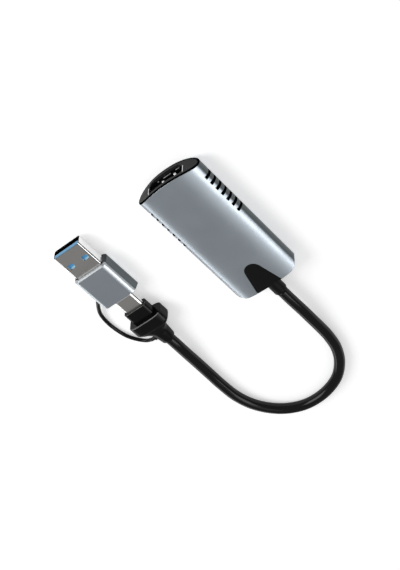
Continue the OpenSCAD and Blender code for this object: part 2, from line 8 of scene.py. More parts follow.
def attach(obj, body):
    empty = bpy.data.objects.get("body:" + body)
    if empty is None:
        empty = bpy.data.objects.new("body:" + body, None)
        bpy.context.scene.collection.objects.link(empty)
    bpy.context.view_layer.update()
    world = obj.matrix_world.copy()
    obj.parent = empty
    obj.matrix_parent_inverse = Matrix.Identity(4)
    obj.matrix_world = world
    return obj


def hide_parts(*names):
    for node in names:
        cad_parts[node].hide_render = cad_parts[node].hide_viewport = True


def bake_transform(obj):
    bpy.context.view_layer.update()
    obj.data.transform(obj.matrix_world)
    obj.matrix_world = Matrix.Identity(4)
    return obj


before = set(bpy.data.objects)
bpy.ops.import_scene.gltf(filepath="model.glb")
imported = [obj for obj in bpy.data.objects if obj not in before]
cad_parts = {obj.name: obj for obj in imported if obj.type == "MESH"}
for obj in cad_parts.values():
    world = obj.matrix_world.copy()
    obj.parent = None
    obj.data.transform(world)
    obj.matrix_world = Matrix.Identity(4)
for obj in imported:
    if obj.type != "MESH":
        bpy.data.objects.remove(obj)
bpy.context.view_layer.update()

scene = bpy.context.scene
scene.view_settings.view_transform = "Standard"
mm = 0.001
slack = 0.01  # how far a test of a place gives way


# small helpers

def ink(red, green, blue):
    # a screen colour from 0 to 255 as the linear values that shaders take
    values = []
    for part in (red, green, blue):
        share = part / 255
        values.append(share / 12.92 if share <= 0.04045 else ((share + 0.055) / 1.055) ** 2.4)
    return (*values, 1.0)


def linkObject(name, data):
    obj = bpy.data.objects.new(name, data)
    scene.collection.objects.link(obj)
    return obj


def makeMesh(name, shape):
    points, faces = shape
    mesh = bpy.data.meshes.new(name)
    mesh.from_pydata([tuple(c * mm for c in p) for p in points], [], faces)
    shell = bmesh.new()
    shell.from_mesh(mesh)
    bmesh.ops.remove_doubles(shell, verts=shell.verts, dist=1e-7)
    bmesh.ops.dissolve_degenerate(shell, edges=shell.edges, dist=1e-7)
    bmesh.ops.recalc_face_normals(shell, faces=shell.faces)
    for face in shell.faces:
        face.smooth = True
    shell.to_mesh(mesh)
    shell.free()
    return linkObject(name, mesh)


def makePiece(name, shape, thick=0.0, edge=0.0, angle=38.0):
    # a mesh with its wall thickness inwards, its rounded edges and even normals put into it
    obj = makeMesh(name, shape)
    if thick:
        wall = obj.modifiers.new("wall", "SOLIDIFY")
        wall.thickness = thick * mm
        wall.offset = -1
        wall.use_quality_normals = True
    if edge:
        rounding = obj.modifiers.new("rounding", "BEVEL")
        rounding.width = edge * mm
        rounding.segments = 2
        rounding.limit_method = "ANGLE"
        rounding.angle_limit = math.radians(angle)
    even = obj.modifiers.new("even", "WEIGHTED_NORMAL")
    even.keep_sharp = True
    graph = bpy.context.evaluated_depsgraph_get()
    shaped = bpy.data.meshes.new_from_object(obj.evaluated_get(graph), depsgraph=graph)
    old = obj.data
    obj.modifiers.clear()
    obj.data = shaped
    bpy.data.meshes.remove(old)
    shaped.name = obj.name
    return obj


def loft(rings, loop=False, ends=True, holes=()):
    # quads between rings of equal count; loop joins the last ring to the first
    count, total = len(rings[0]), len(rings)
    points = [p for ring in rings for p in ring]
    faces = []
    for j in range(total if loop else total - 1):
        k = (j + 1) % total
        for i in range(count):
            n = (i + 1) % count
            if (j, i) not in holes:
                faces.append((j * count + i, j * count + n, k * count + n, k * count + i))
    if ends and not loop:
        faces.append(tuple(range(count)))
        faces.append(tuple((total - 1) * count + i for i in range(count)))
    return points, faces


def together(*shapes):
    points, faces = [], []
    for somePoints, someFaces in shapes:
        base = len(points)
        points += somePoints
        faces += [tuple(base + i for i in face) for face in someFaces]
    return points, faces


def turned(profile, centre, axis, sides):
    # a lathe shape from (along, radius) pairs, about an axis along x or y
    cx, cy, cz = centre
    rings = []
    for along, radius in profile:
        ring = []
        for i in range(sides):
            a = 2 * math.pi * i / sides
            u, v = radius * math.cos(a), radius * math.sin(a)
            ring.append((cx + u, cy + along, cz + v) if axis == "y" else (cx + along, cy + u, cz + v))
        rings.append(ring)
    return loft(rings)


def roundOff(end, size, steps):
    # the last places and sizes of a round end, from pairs of the way still to go and the loss of size
    return [(end - before, size - less) for before, less in steps]


def ovalPoint(turn, wide, high, full):
    c, s = math.cos(turn), math.sin(turn)
    return math.copysign(abs(c) ** (2 / full), c) * wide / 2, math.copysign(abs(s) ** (2 / full), s) * high / 2


def ovalRing(wide, high, full, count):
    return [ovalPoint(2 * math.pi * i / count, wide, high, full) for i in range(count)]


def roundedOutline(corners, radius, steps=5):
    # a closed outline with its corners turned into arcs
    outline = []
    count = len(corners)
    for i in range(count):
        here = Vector(corners[i])
        back = (Vector(corners[i - 1]) - here).normalized()
        ahead = (Vector(corners[(i + 1) % count]) - here).normalized()
        half = back.angle(ahead) / 2
        reach = radius / math.tan(half)
        centre = here + (back + ahead).normalized() * (radius / math.sin(half))
        first, last = here + back * reach - centre, here + ahead * reach - centre
        turn = first.angle_signed(last)
        for k in range(steps + 1):
            outline.append(tuple(centre + Matrix.Rotation(-turn * k / steps, 2) @ first))
    return outline


def boxOutline(wide, high, radius, steps):
    w, h = wide / 2, high / 2
    return roundedOutline([(w, -h), (w, h), (-w, h), (-w, -h)], radius, steps)


def reachOval(wide, high, full, angle):
    c, s = abs(math.cos(angle)), abs(math.sin(angle))
    return ((2 * c / wide) ** full + (2 * s / high) ** full) ** (-1 / full)


def reachOutline(outline, angle):
    # how far a ray from the middle goes before it meets the outline
    dx, dz = math.cos(angle), math.sin(angle)
    best = 0.0
    for i in range(len(outline)):
        (x0, z0), (x1, z1) = outline[i - 1], outline[i]
        ex, ez = x1 - x0, z1 - z0
        cross = dx * ez - dz * ex
        if abs(cross) < 1e-9:
            continue
        far = (x0 * ez - z0 * ex) / cross
        share = (x0 * dz - z0 * dx) / cross
        if far > 0 and -1e-6 <= share <= 1 + 1e-6:
            best = max(best, far)
    return best


def rayAngles(outline, count):
    # even rays, and one through each corner of the outline
    even = [2 * math.pi * i / count for i in range(count)]
    own = [math.atan2(z, x) % (2 * math.pi) for x, z in outline]
    keep = [a for a in even if all(abs(a - b) > 0.6 * math.pi / count for b in own)]
    return sorted(set(round(a, 5) for a in keep + own))


def smoothRoute(points, steps):
    # one smooth curve through all points
    knots = [Vector(p) for p in points]
    knots = [2 * knots[0] - knots[1]] + knots + [2 * knots[-1] - knots[-2]]
    route = []
    for i in range(1, len(knots) - 2):
        p0, p1, p2, p3 = knots[i - 1:i + 3]
        for k in range(steps):
            t = k / steps
            route.append(0.5 * (2 * p1 + (p2 - p0) * t + (2 * p0 - 5 * p1 + 4 * p2 - p3) * t * t
                                + (3 * p1 - p0 - 3 * p2 + p3) * t ** 3))
    route.append(knots[-2])
    return route


def routeLength(route):
    return sum((b - a).length for a, b in zip(route, route[1:]))


def tube(route, radius, sides):
    rings = []
    for i, here in enumerate(route):
        ahead = (route[min(i + 1, len(route) - 1)] - route[max(i - 1, 0)]).normalized()
        across = ahead.cross(Vector((0, 0, 1))).normalized()
        above = across.cross(ahead)
        rings.append([tuple(here + radius * (math.cos(a) * across + math.sin(a) * above))
                      for a in (2 * math.pi * k / sides for k in range(sides))])
    return loft(rings)


# camera

photoCamera = {"place": (-186.06, -221.87, 384.16), "azimuth": -41.147, "elevation": 50.332,
               "roll": 181.30, "lens": 86.678, "sensor": 36.0, "clip": (0.01, 20)}


def setCamera():
    azimuth, elevation, roll = (math.radians(photoCamera[k]) for k in ("azimuth", "elevation", "roll"))
    back = Vector((math.sin(azimuth) * math.cos(elevation), -math.cos(azimuth) * math.cos(elevation),
                   math.sin(elevation)))
    right = Vector((math.cos(azimuth), math.sin(azimuth), 0))
    up = back.cross(right)
    across = right * math.cos(roll) + up * math.sin(roll)
    upward = up * math.cos(roll) - right * math.sin(roll)
    data = bpy.data.cameras.new("photoCamera")
    data.lens = photoCamera["lens"]
    data.sensor_width = photoCamera["sensor"]
    data.clip_start, data.clip_end = photoCamera["clip"]
    camera = linkObject("photoCamera", data)
    turn = Matrix((across, upward, back)).transposed().to_4x4()
    turn.translation = Vector(photoCamera["place"]) * mm
    camera.matrix_world = turn
    scene.camera = camera


setCamera()
print("camera set")


# the two cords, along the routes of the solids

cableLook = {"diameter": 4.3, "sides": 32, "steps": 6,
             "route": [(0, 35.55, 4.5), (0, 41.55, 4.5), (0, 48, 4.2), (0.3, 54, 3.6), (0.7, 60, 2.8),
                       (1.2, 66, 2.35), (2.6, 72.6, 2.2), (6, 79.2, 2.2), (11.8, 85, 2.2),
                       (19.8, 88.4, 2.2), (28, 89, 2.2), (35, 86.8, 2.2), (40.8, 82.3, 2.2),
                       (45.2, 75.8, 2.2), (47.5, 68.2, 2.2), (48, 60, 2.2), (47.9, 52, 2.2),
                       (47.5, 44, 2.7), (47, 37.5, 3.5), (46.6, 32.5, 4), (46.6, 27.5, 4)]}
strapLook = {"diameter": 1.5, "sides": 20, "steps": 6,
             "route": [(50.9, 24.3, 4), (51.8, 24.3, 4), (52.7, 24.5, 3.5), (55.1, 24.4, 2.4),
                       (57.7, 22.5, 1.6), (59.9, 19.3, 1.1), (61, 15.8, 0.8), (61.4, 11.6, 0.8),
                       (61, 7.6, 1.1), (60, 4.2, 1.5), (58.2, 1.4, 2.2), (56.4, -0.8, 2.9),
                       (55.65, -1.6, 3.2), (54.85, -1.7, 3.2)]}


def makeCord(name, look):
    route = smoothRoute(look["route"], look["steps"])
    return makeMesh(name, tube(route, look["diameter"] / 2, look["sides"])), route


cable, cableRoute = makeCord("cableJacket", cableLook)
strap, strapRoute = makeCord("strapCord", strapLook)
print("cords laid: cable", round(routeLength(cableRoute), 1), "mm, strap", round(routeLength(strapRoute), 1), "mm")


# body shell: an oval tube with a bowed front, round rear corners, vents and a notch

body = {"wide": 27.0, "long": 57.5, "top": 9.1, "ovalHigh": 9.2, "full": 2.55, "wall": 0.9, "bow": 2.4,
        "faceThick": 0.5, "cornerRadius": 4.3, "edge": 0.1,
        "ventCount": 7, "ventWide": 1.2, "ventPitch": 2.84, "ventFirst": 8.0, "ventRise": 2.8, "ventDrop": 1.8,
        "notchLong": 12.5, "notchWide": 10.8, "notchRadius": 3.2, "notchGap": 0.1, "notchLow": 1.5,
        "wedgeStops": (4.8, 4.0), "tipStops": (2.75, 2.2, 1.5, 0.8, 0), "shoulderSteps": 12, "midStation": 6.0,
        "ventReach": 3.0, "ventSlackY": 0.02, "ventSlackZ": 0.05}
midZ = body["top"] - body["ovalHigh"] / 2
frontTip, rearFace = -body["long"] / 2, body["long"] / 2


def bowY(x, inset=0.0):
    return frontTip + inset + body["bow"] * (2 * x / body["wide"]) ** 2


def topZ(x):
    share = min(abs(2 * x / body["wide"]), 1)
    return midZ + body["ovalHigh"] / 2 * (1 - share ** body["full"]) ** (1 / body["full"])


def roundedEnd(x, wide, radius):
    # how far an end falls back at x where its corners are round, seen from above
    past = max(abs(x) - (wide / 2 - radius), 0)
    return radius - math.sqrt(max(radius ** 2 - past ** 2, 0))


def notchTip(gap):
    # radius and middle of the notch's round tip, half its width at the rear, and the tip's last point
    radius, centre = body["notchRadius"] + gap, rearFace - body["notchLong"] + body["notchRadius"]
    half = body["notchWide"] / 2 + gap
    reach = math.hypot(half, rearFace - centre)
    angle = math.atan2(rearFace - centre, half) - math.acos(radius / reach)
    return radius, centre, half, radius * math.cos(angle), centre + radius * math.sin(angle)


def notchY(x, gap):
    radius, centre, half, tipX, tipY = notchTip(gap)
    if abs(x) <= tipX:
        return centre - math.sqrt(radius ** 2 - x ** 2)
    return tipY + (abs(x) - tipX) * (rearFace - tipY) / (half - tipX)


def makeBody():
    halfWide, halfHigh, full = body["wide"] / 2, body["ovalHigh"] / 2, body["full"]
    gap = body["notchGap"]
    _, _, notchHalf, tipX, _ = notchTip(gap)

    def turnAtX(x):
        return math.acos((x / halfWide) ** (full / 2))

    def turnAtZ(z):
        return math.asin((z / halfHigh) ** (full / 2))

    rise, drop = body["ventRise"], body["ventDrop"]
    side = [turnAtZ(z) for z in (0, drop / 2, drop, (drop + rise) / 2, rise)]
    top = [turnAtX(x) for x in (notchHalf, *body["wedgeStops"], tipX, *body["tipStops"])]
    steps = body["shoulderSteps"]
    shoulder = [side[-1] + (top[0] - side[-1]) * k / steps for k in range(1, steps)]
    quarter = side + shoulder + top
    turns = (quarter + [math.pi - t for t in reversed(quarter[:-1])]
             + [math.pi + t for t in quarter[1:]] + [2 * math.pi - t for t in reversed(quarter[1:-1])])
    section = [ovalPoint(t, body["wide"], body["ovalHigh"], full) for t in turns]
    section = [(x, max(midZ + z, 0)) for x, z in section]
    stations = []
    for k in range(body["ventCount"]):
        middle = frontTip + body["ventFirst"] + k * body["ventPitch"]
        stations += [middle - body["ventWide"] / 2, middle + body["ventWide"] / 2]
    rings = [[(x, bowY(x, body["faceThick"]), z) for x, z in section]]
    rings += [[(x, y, z) for x, z in section] for y in stations + [body["midStation"]]]
    last = []
    for x, z in section:
        end = rearFace - roundedEnd(x, body["wide"], body["cornerRadius"])
        last.append((x, min(end, notchY(x, gap)) if z > midZ and abs(x) < notchHalf else end, z))
    rings.append(last)
    count = len(section)
    holes = set()
    for i, (x, z) in enumerate(section):
        nextX, nextZ = section[(i + 1) % count]
        low, high = min(z, nextZ) - midZ, max(z, nextZ) - midZ
        if low > -drop - slack and high < rise + slack:
            holes |= {(1 + 2 * k, i) for k in range(body["ventCount"])}
    points, faces = loft(rings, ends=False, holes=holes)
    # the rear face, down to a sill where the notch is open
    first = (len(rings) - 1) * count
    sill = {}
    for i in range(count // 2 + 1):
        if abs(section[i][0]) <= notchHalf + 1e-6:
            sill[i] = len(points)
            points.append((section[i][0], rearFace, body["notchLow"]))
    for i in range(count // 2):
        n = i + 1
        below, belowNext = first + (count - i) % count, first + (count - n) % count
        if i in sill and n in sill:
            faces.append((sill[i], sill[n], belowNext, below))
        else:
            ring = [first + i, first + n] + ([sill[n]] if n in sill else []) + [belowNext, below]
            ring += [sill[i]] if i in sill else []
            faces.append(tuple(dict.fromkeys(ring)))
    return makePiece("bodyShell", (points, faces), thick=body["wall"], edge=body["edge"])


bodyShell = makeBody()


# front face: a charcoal plate over the open end, with the socket's cut-out

frontFace = {"plugDeep": 5.6, "inset": 1.0, "rim": 0.45, "line": 0.75, "rimDrop": 0.12, "edge": 0.05, "sharp": 50,
             "rays": 132, "cutRound": 0.3, "cutSteps": 4, "cutGap": 0.1, "sill": 0.35, "shares": (0, 0.2, 0.55, 1)}
socket = {"wide": 15.5, "high": 5.5, "slantWide": 2.0, "slantHigh": 2.1, "sheet": 0.3, "mouth": -28.0,
          "back": -16.8, "edge": 0.07, "round": 0.35, "insideRound": 0.15, "sink": 0.05, "sideSlack": 0.05,
          "tabWide": 1.1, "tabLong": 3.0, "tabX": 2.6, "tabStart": -26.8, "tabBulge": 0.62, "tabThick": 0.16,
          "tabSteps": 8, "tabCurve": 1.5, "tabTaper": 0.25, "tabReach": 0.9, "tabHigh": 2.4,
          "hems": ((-1.7, 1.7), (-5.5, -3.8), (3.6, 4.3)), "hemY": -27.35, "hemWide": 0.4, "hemHigh": 0.2,
          "hemSlope": 0.2, "hemTop": 0.3, "hemReach": 5.6}


def socketCorners(inset):
    slantWide, slantHigh = socket["slantWide"], socket["slantHigh"]
    slope = math.hypot(slantWide, slantHigh)
    w, h = socket["wide"] / 2 - inset, socket["high"] / 2 - inset
    across = slantWide - inset + inset * (slope - slantWide) / slantHigh
    along = slantHigh - inset + inset * (slope - slantHigh) / slantWide
    return [(w, h), (-w, h), (-w, along - h), (across - w, -h), (w - across, -h), (w, along - h)]


def makeFront():
    # the lower edge of the cut-out covers the edge of the socket's sheet
    corners = socketCorners(-frontFace["cutGap"])
    corners = corners[:2] + [(x, z + frontFace["sill"]) for x, z in corners[2:]]
    cutOut = roundedOutline(corners, frontFace["cutRound"], frontFace["cutSteps"])
    angles = rayAngles(cutOut, frontFace["rays"])

    def inwards(less):
        reaches = [reachOval(body["wide"] - 2 * less, body["ovalHigh"] - 2 * less, body["full"], a) for a in angles]
        return [(math.cos(a) * far, max(midZ + math.sin(a) * far, 0)) for a, far in zip(angles, reaches)]

    def bowed(line, inset=0.0):
        return [(x, bowY(x, inset), z) for x, z in line]

    outer, rim, line, inner = inwards(0), *(inwards(frontFace[k]) for k in ("rim", "line", "inset"))
    reaches = [reachOutline(cutOut, a) for a in angles]
    hole = [(math.cos(a) * near, midZ + math.sin(a) * near) for a, near in zip(angles, reaches)]
    back = frontTip + frontFace["plugDeep"]
    thick = body["faceThick"]
    rings = [[(x, back, z) for x, z in hole]]
    for share in frontFace["shares"]:
        rings.append(bowed([(x0 + (x1 - x0) * share, z0 + (z1 - z0) * share)
                            for (x0, z0), (x1, z1) in zip(hole, line)]))
    rings += [bowed(rim), bowed(outer, frontFace["rimDrop"]), bowed(outer, thick), bowed(inner, thick)]
    rings.append([(x, back, z) for x, z in inner])
    return makePiece("frontFace", loft(rings, loop=True), edge=frontFace["edge"], angle=frontFace["sharp"])


def springTab(x, way):
    # a curved strip that presses on the plug, above or below the tongue
    wall = midZ + way * (socket["high"] / 2 - socket["sheet"])
    rings = []
    for k in range(socket["tabSteps"] + 1):
        share = k / socket["tabSteps"]
        y = socket["tabStart"] + socket["tabLong"] * share
        z = wall - way * (socket["tabBulge"] * math.sin(math.pi * share) ** socket["tabCurve"] - socket["sink"])
        w, t = socket["tabWide"] / 2 * (1 - socket["tabTaper"] * share), way * socket["tabThick"]
        rings.append([(x - w, y, z), (x + w, y, z), (x + w, y, z + t), (x - w, y, z + t)])
    return loft(rings)


def wallHem(x0, x1):
    # a low bead on the socket's lower wall, just inside the mouth
    low = midZ - socket["high"] / 2 + socket["sheet"] - socket["sink"]
    y, wide, high, slope = (socket[k] for k in ("hemY", "hemWide", "hemHigh", "hemSlope"))
    line = [(y, low), (y + wide * slope, low + high), (y + wide * (1 - slope), low + high), (y + wide, low)]
    return loft([[(x, py, pz) for py, pz in line] for x in (x0, x1)])


def makeSocketCage():
    outline = roundedOutline(socketCorners(0), socket["round"])
    inside = roundedOutline(socketCorners(socket["sheet"]), socket["insideRound"])
    rings = [[(x, y, midZ + z) for x, z in line]
             for line, y in ((inside, socket["back"] - socket["sheet"]), (inside, socket["mouth"]),
                             (outline, socket["mouth"]), (outline, socket["back"]))]
    tabs = [springTab(x, way) for x in (-socket["tabX"], socket["tabX"]) for way in (-1, 1)]
    shape = together(loft(rings), *tabs, *(wallHem(*span) for span in socket["hems"]))
    return makePiece("socketCage", shape, edge=socket["edge"])


frontPlate = makeFront()
socketCage = makeSocketCage()


# gland: the black wedge in the notch, with the strain relief

gland = {"low": 1.6, "middleY": 24.4, "bossRadius": 2.6, "bossRoot": 27.4, "bossEnd": 35.55, "edge": 0.14,
         "bossRounding": ((0.5, 0), (0.3, 0.05), (0.12, 0.2), (0.02, 0.42), (0, 0.58)), "sides": 56, "sharp": 45,
         "tipSteps": 24, "sideSteps": 6, "rearSteps": 12, "sink": 0.03, "topShares": (0.72, 0.4, 0.1)}


def makeGland():
    radius, centre, half, tipX, tipY = notchTip(0)
    angle = math.atan2(tipY - centre, tipX)
    start, turn = math.pi - angle, math.pi + 2 * angle
    tip, side, rear = gland["tipSteps"], gland["sideSteps"], gland["rearSteps"]
    outline = [(radius * math.cos(start + turn * k / tip), centre + radius * math.sin(start + turn * k / tip))
               for k in range(tip + 1)]
    outline += [(tipX + (half - tipX) * k / side, tipY + (rearFace - tipY) * k / side) for k in range(1, side + 1)]
    outline += [(half - 2 * half * k / rear, rearFace) for k in range(1, rear + 1)]
    outline += [(-half + (half - tipX) * k / side, rearFace - (rearFace - tipY) * k / side) for k in range(1, side)]
    rings = [[(x, y, gland["low"]) for x, y in outline], [(x, y, topZ(x) - gland["sink"]) for x, y in outline]]
    middle = gland["middleY"]
    for share in gland["topShares"]:
        ring = [(x * share, middle + (y - middle) * share) for x, y in outline]
        rings.append([(x, y, topZ(x) - gland["sink"]) for x, y in ring])
    wide = gland["bossRadius"]
    profile = [(gland["bossRoot"], wide)] + roundOff(gland["bossEnd"], wide, gland["bossRounding"])
    shape = together(loft(rings), turned(profile, (0, 0, midZ), "y", gland["sides"]))
    return makePiece("cableGland", shape, edge=gland["edge"], angle=gland["sharp"])


glandPiece = makeGland()
print("box made")


# small plug: steel shell, overmould and grip

plug = {"x": 46.6, "z": 4.0, "shellWide": 8.25, "shellHigh": 2.4, "sheet": 0.25, "tip": 1.75, "shellBack": 11.9,
        "moldWide": 10.0, "moldHigh": 4.4, "moldRound": 1.6, "moldFront": 8.4, "moldBack": 19.0, "moldEdge": 0.15,
        "tipLong": 2.0, "shellEdge": 0.09, "steps": 10}
grip = {"wide": 14.8, "high": 8.0, "full": 4.0, "front": 13.9, "taper": 19.2, "neck": 23.4, "back": 27.5,
        "edge": 0.3, "round": 1.2, "roundSteps": 7, "roundTurn": 10, "taperSteps": 14, "hollow": 2.2, "points": 96,
        "neckRadius": 3.3, "endRadius": 2.9, "endRounding": ((1.6, -0.25), (0.5, 0), (0.2, 0.22), (0.05, 0.6), (0, 1)),
        "rimUp": 0.45, "nubY": 24.3, "nubRadius": 1.1, "nubRoot": 2.0, "nubOut": 4.3, "nubSides": 32,
        "nubRounding": ((0.35, 0), (0.15, 0.08), (0.03, 0.24), (0, 0.4))}


def onPlugAxis(ring, y):
    return [(plug["x"] + x, y, plug["z"] + z) for x, z in ring]


def makePlugShell():
    line = boxOutline(plug["shellWide"], plug["shellHigh"], plug["shellHigh"] / 2 - slack, plug["steps"])
    stations = (plug["tip"], plug["tip"] + plug["tipLong"], plug["shellBack"])
    shape = loft([onPlugAxis(line, y) for y in stations], ends=False)
    return makePiece("plugShell", shape, thick=plug["sheet"], edge=plug["shellEdge"])


def makeOvermold():
    line = boxOutline(plug["moldWide"], plug["moldHigh"], plug["moldRound"], plug["steps"])
    shape = loft([onPlugAxis(line, y) for y in (plug["moldFront"], plug["moldBack"])])
    return makePiece("plugOvermold", shape, edge=plug["moldEdge"])


def makeGrip():
    wide, high, full, taper, soft = (grip[k] for k in ("wide", "high", "full", "taper", "round"))
    # the crisp front edge, the flange, its round rear edge, the hollow taper and the neck
    sizes = [(grip["front"], wide - 2 * grip["edge"], high - 2 * grip["edge"], full),
             (grip["front"] + grip["edge"], wide, high, full)]
    for i in range(grip["roundSteps"]):
        turn = math.radians(grip["roundTurn"] * i)
        less = soft * (1 - math.cos(turn))
        sizes.append((taper - soft * (1 - math.sin(turn)), wide - 2 * less, high - less, full))
    neck, steps = 2 * grip["neckRadius"], grip["taperSteps"]
    for i in range(1, steps + 1):
        share = (1 - i / steps) ** grip["hollow"]
        sizes.append((taper + (grip["neck"] - taper) * i / steps, neck + (wide - soft - neck) * share,
                      neck + (high - soft / 2 - neck) * share, 2 + (full - 2) * share))
    sizes += [(y, size, size, 2) for y, size in roundOff(grip["back"], 2 * grip["endRadius"], grip["endRounding"])]
    rings = [onPlugAxis(ovalRing(w, h, n, grip["points"]), y) for y, w, h, n in sizes]
    profile = [(grip["nubRoot"], grip["nubRadius"])]
    profile += roundOff(grip["nubOut"], grip["nubRadius"], grip["nubRounding"])
    nub = turned(profile, (plug["x"], grip["nubY"], plug["z"]), "x", grip["nubSides"])
    return makePiece("plugGrip", together(loft(rings), nub))


plugShell = makePlugShell()
overmold = makeOvermold()
gripPiece = makeGrip()
print("small plug made")


# adapter: sleeve, wide plug and the strap's button

sleeve = {"wide": 15.1, "high": 7.6, "round": 2.3, "front": -15.5, "back": 2.1, "lean": 1.6, "wall": 0.9,
          "frontThick": 1.2, "chamfer": 0.5, "corner": 1.8, "edge": 0.03, "gateGap": 0.1, "gateRound": 0.5,
          "steps": 14, "shadeTop": 2.2}
widePlug = {"wide": 12.0, "high": 4.5, "sheet": 0.3, "tip": -27.6, "back": -12.5, "round": 0.75, "cornerSteps": 5,
            "edge": 0.04, "windowX": 3.25, "windowWide": 2.5, "windowY": 6.4, "windowLong": 2.1, "blueThick": 1.8,
            "nose": 1.0, "noseThick": 1.4, "lip": 0.2, "lipCut": (0.44, 0.13), "lipShade": 0.08, "insideShade": 0.2,
            "dishDeep": 0.45, "dishSlope": 0.55, "dishOver": 0.2, "dishRound": 0.4, "dishSteps": 4, "bedGap": 0.02,
            "dishUp": 0.2, "blueBack": 3.6}
button = {"y": -1.7, "z": 3.2, "stem": 1.1, "head": 1.6, "inside": 52.45, "face": 54.15, "end": 54.75, "sides": 40,
          "stemGap": 0.02, "faceRounding": ((0, 0.1), (-0.08, 0)),
          "endRounding": ((0.3, 0), (0.12, 0.12), (0.02, 0.4), (0, 0.7))}


def makeSleeve():
    def outline(less, radius):
        return boxOutline(sleeve["wide"] - 2 * less, sleeve["high"] - 2 * less, radius, sleeve["steps"])

    def leaning(line):
        # the rear face, further forward at its top and round at its foot
        ring = []
        for x, z in line:
            foot = min(max(sleeve["corner"] - (z + sleeve["high"] / 2), 0), sleeve["corner"])
            turn = sleeve["corner"] - math.sqrt(sleeve["corner"] ** 2 - foot ** 2)
            y = sleeve["back"] - sleeve["lean"] * (z / sleeve["high"] + 0.5) - turn
            ring.append((plug["x"] + x, y, plug["z"] + z))
        return ring

    chamfer, wall, front = sleeve["chamfer"], sleeve["wall"], sleeve["front"]
    inside = front + sleeve["frontThick"]
    outer = outline(0, sleeve["round"])
    inner = outline(wall, sleeve["round"] - wall)
    gap = 2 * sleeve["gateGap"]
    gate = boxOutline(widePlug["wide"] + gap, widePlug["high"] + gap, sleeve["gateRound"], sleeve["steps"])
    rings = [leaning(outer), onPlugAxis(outer, front + chamfer),
             onPlugAxis(outline(chamfer, sleeve["round"] - chamfer), front), onPlugAxis(gate, front),
             onPlugAxis(gate, inside), onPlugAxis(inner, inside), leaning(inner)]
    return makePiece("adapterSleeve", loft(rings, loop=True), edge=sleeve["edge"])


def makeWidePlug():
    w, h, r = widePlug["wide"] / 2, widePlug["high"] / 2, widePlug["round"]
    inner = widePlug["windowX"] - widePlug["windowWide"] / 2
    outerX = widePlug["windowX"] + widePlug["windowWide"] / 2
    steps = widePlug["cornerSteps"]
    turns = [math.pi / 2 * k / steps for k in range(steps + 1)]
    corner = [(r * math.sin(t), r - r * math.cos(t)) for t in turns]
    stops = [outerX, inner, 0, -inner, -outerX]
    line = [(w, 0)] + [(w - b, h - r + a) for a, b in corner]
    line += [(x, h) for x in stops]
    line += [(-(w - b), h - r + a) for a, b in reversed(corner)] + [(-w, 0)]
    line += [(-(w - b), -(h - r + a)) for a, b in corner]
    line += [(-x, -h) for x in stops]
    line += [(w - b, -(h - r + a)) for a, b in reversed(corner)]
    middle, half = widePlug["tip"] + widePlug["windowY"], widePlug["windowLong"] / 2
    rings = [onPlugAxis(line, y) for y in (widePlug["tip"], middle - half, middle + half, widePlug["back"])]
    # the top of the shell stops behind the blue lip
    rings[0] = [(x, y + widePlug["lip"] if z - plug["z"] == h else y, z) for x, y, z in rings[0]]
    holes = set()
    for i, (x, z) in enumerate(line):
        nextX, nextZ = line[(i + 1) % len(line)]
        if abs(z) == h and abs(nextZ) == h and {abs(x), abs(nextX)} == {inner, outerX}:
            holes.add((1, i))
    shape = loft(rings, ends=False, holes=holes)
    return makePiece("widePlugShell", shape, thick=widePlug["sheet"], edge=widePlug["edge"])


def makeBlueBlock():
    # the block under the shell's top, its front lip, its root and a dish under each window
    w, top = widePlug["wide"] / 2 - widePlug["sheet"], widePlug["high"] / 2 - widePlug["sheet"]
    tip, back, deep, over = (widePlug[k] for k in ("tip", "back", "dishDeep", "dishOver"))
    low = top - widePlug["blueThick"]

    def bar(y0, y1, z0, z1, cutX=0.02, cutZ=0.02):
        line = [(w, z0), (w, z1 - cutZ), (w - cutX, z1), (cutX - w, z1), (-w, z1 - cutZ), (-w, z0)]
        return loft([onPlugAxis(line, y) for y in (y0, y1)])

    dishes = []
    for x in (-widePlug["windowX"], widePlug["windowX"]):
        rings = []
        for less, z in ((0, top), (widePlug["dishSlope"], top - deep)):
            line = boxOutline(widePlug["windowWide"] + over - 2 * less, widePlug["windowLong"] + over - 2 * less,
                              widePlug["dishRound"], widePlug["dishSteps"])
            rings.append([(plug["x"] + x + px, tip + widePlug["windowY"] + py, plug["z"] + z) for px, py in line])
        points, faces = loft(rings)
        dishes.append((points, faces[:-2] + faces[-1:]))
    lip, nose, bed = tip + widePlug["lip"], tip + widePlug["nose"], top - deep - widePlug["bedGap"]
    shape = together(bar(tip, lip, top - widePlug["noseThick"], widePlug["high"] / 2, *widePlug["lipCut"]),
                     bar(lip, nose, top - widePlug["noseThick"], bed), bar(nose, back, low, bed),
                     bar(back - widePlug["blueBack"], back, -top, low), *dishes)
    return makePiece("blueBlock", shape)


def makeButton():
    face, head, stem = button["face"], button["head"], button["stem"]
    profile = [(button["inside"], stem), (face - button["stemGap"], stem)]
    profile += roundOff(face, head, button["faceRounding"]) + roundOff(button["end"], head, button["endRounding"])
    return makePiece("strapButton", turned(profile, (0, button["y"], button["z"]), "x", button["sides"]))


sleevePiece = makeSleeve()
widePlugShell = makeWidePlug()
blueBlock = makeBlueBlock()
buttonPiece = makeButton()
print("adapter made")


# shader groups: each is built once and placed in every finish with its own values

def newGroup(name, inputs, outputs):
    tree = bpy.data.node_groups.new(name, "ShaderNodeTree")
    for label, value in inputs.items():
        kind = "NodeSocketVector" if isinstance(value, tuple) else "NodeSocketFloat"
        tree.interface.new_socket(name=label, in_out="INPUT", socket_type=kind).default_value = value
    for label in outputs:
        tree.interface.new_socket(name=label, in_out="OUTPUT", socket_type="NodeSocketFloat")
    return tree, tree.nodes.new("NodeGroupInput"), tree.nodes.new("NodeGroupOutput")


def addNode(tree, kind, **values):
    node = tree.nodes.new(kind)
    for key, value in values.items():
        setattr(node, key, value)
    return node


